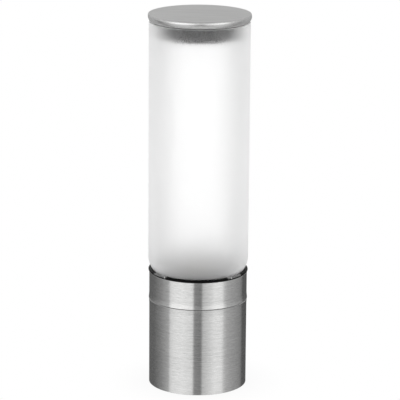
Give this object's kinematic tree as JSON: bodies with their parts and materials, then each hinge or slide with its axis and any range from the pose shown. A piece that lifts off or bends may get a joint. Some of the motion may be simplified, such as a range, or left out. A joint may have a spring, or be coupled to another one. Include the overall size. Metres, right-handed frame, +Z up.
{
  "type": "bollard light",
  "caption": "Low garden bollard light: frosted glass cylinder with a steel cap on a short round steel pedestal, with a black sensor ring.",
  "frame": {"origin": "centre of the round foot, on the ground plane", "axes": "+Z up along the light's axis, -Y towards the front, +X to the right seen from the front"},
  "size_m": [0.13, 0.13, 0.48],
  "materials": {
    "brushed_stainless": "horizontally brushed satin stainless steel",
    "screw_steel": "zinc-plated or stainless small fasteners",
    "frosted_glass": "satin frosted glass, matt all over",
    "black_plastic": "black moulded plastic with a satin sheen",
    "smoked_lens": "grey infrared-clear plastic, slightly milky",
    "grey_housing": "dark grey fine-textured plastic",
    "black_rubber": "black sealing rubber",
    "cast_aluminium": "die-cast aluminium with a fine cast skin",
    "bright_aluminium": "spun and polished aluminium",
    "white_plastic": "white technical plastic",
    "orange_plastic": "orange technical plastic",
    "blue_plastic": "blue technical plastic",
    "dark_component": "dark component casings",
    "circuit_board": "green solder resist over fibreglass",
    "white_board": "white solder resist on an aluminium core",
    "led_phosphor": "yellow phosphor under clear silicone",
    "clear_lens": "clear moulded acrylic",
    "brass": "plated brass contacts",
    "detector_can": "small nickel-plated detector cans",
    "wire_insulation": "coloured wire insulation"
  },
  "bodies": {
    "pedestal": {"base_gasket": "black_rubber", "base_plate": "cast_aluminium", "cable_grommet": "black_rubber", "earth_screw": "brass", "earth_lug": "brass", "posts": "bright_aluminium", "post_screws": "screw_steel", "lower_sleeve": "brushed_stainless", "pedestal_ring": "black_plastic", "terminal_block": "white_plastic", "terminal_screws": "brass", "terminal_mount_screws": "screw_steel", "driver": "white_plastic", "driver_screws": "screw_steel", "pedestal_wires": "wire_insulation", "socket_connector": "white_plastic", "connector_pins": "brass"},
    "head": {"upper_sleeve": "brushed_stainless", "chassis": "black_plastic", "head_seal": "black_rubber", "collar": "black_plastic", "collar_screws": "screw_steel", "sensor_lenses": "smoked_lens", "lens_pins": "screw_steel", "pir_detectors": "detector_can", "glass": "frosted_glass", "glass_gasket": "black_rubber", "clamp_gasket": "black_rubber", "heat_sink": "cast_aluminium", "heat_sink_screws": "screw_steel", "led_board": "white_board", "led_screws": "screw_steel", "led_chips": "led_phosphor", "led_lens": "clear_lens", "lens_screws": "screw_steel", "sensor_board": "circuit_board", "board_screws": "screw_steel", "relay": "dark_component", "capacitors": "dark_component", "dial_pots": "blue_plastic", "bottom_cover": "black_plastic", "cover_screws": "screw_steel", "plug_connector": "white_plastic", "head_wires": "wire_insulation", "led_wires": "wire_insulation"},
    "time_dial": {"time_dial": "white_plastic"},
    "lux_dial": {"lux_dial": "orange_plastic"},
    "lock_screw": {"lock_screw": "screw_steel"},
    "cap": {"cap": "brushed_stainless", "cap_seal": "black_rubber", "cap_carrier": "white_plastic", "cap_nuts": "screw_steel", "reflector_housing": "grey_housing", "reflector": "bright_aluminium", "reflector_screws": "screw_steel"}
  },
  "joints": [
    {"name": "head_lift", "type": "slide", "parent": "pedestal", "child": "head", "axis": [0, 0, 1], "range_m": [0, 0.06]},
    {"name": "cap_lift", "type": "slide", "parent": "head", "child": "cap", "axis": [0, 0, 1], "range_m": [0, 0.04]},
    {"name": "time_dial_turn", "type": "hinge", "parent": "head", "child": "time_dial", "pos_m": [-0.01546, -0.03472, 0.115], "axis": [0, 0, 1], "range_deg": [-135, 135]},
    {"name": "lux_dial_turn", "type": "hinge", "parent": "head", "child": "lux_dial", "pos_m": [0.01546, -0.03472, 0.115], "axis": [0, 0, 1], "range_deg": [-135, 135]},
    {"name": "lock_screw_travel", "type": "slide", "parent": "head", "child": "lock_screw", "axis": [0, 1, 0], "range_m": [0, 0.0015]}
  ]
}
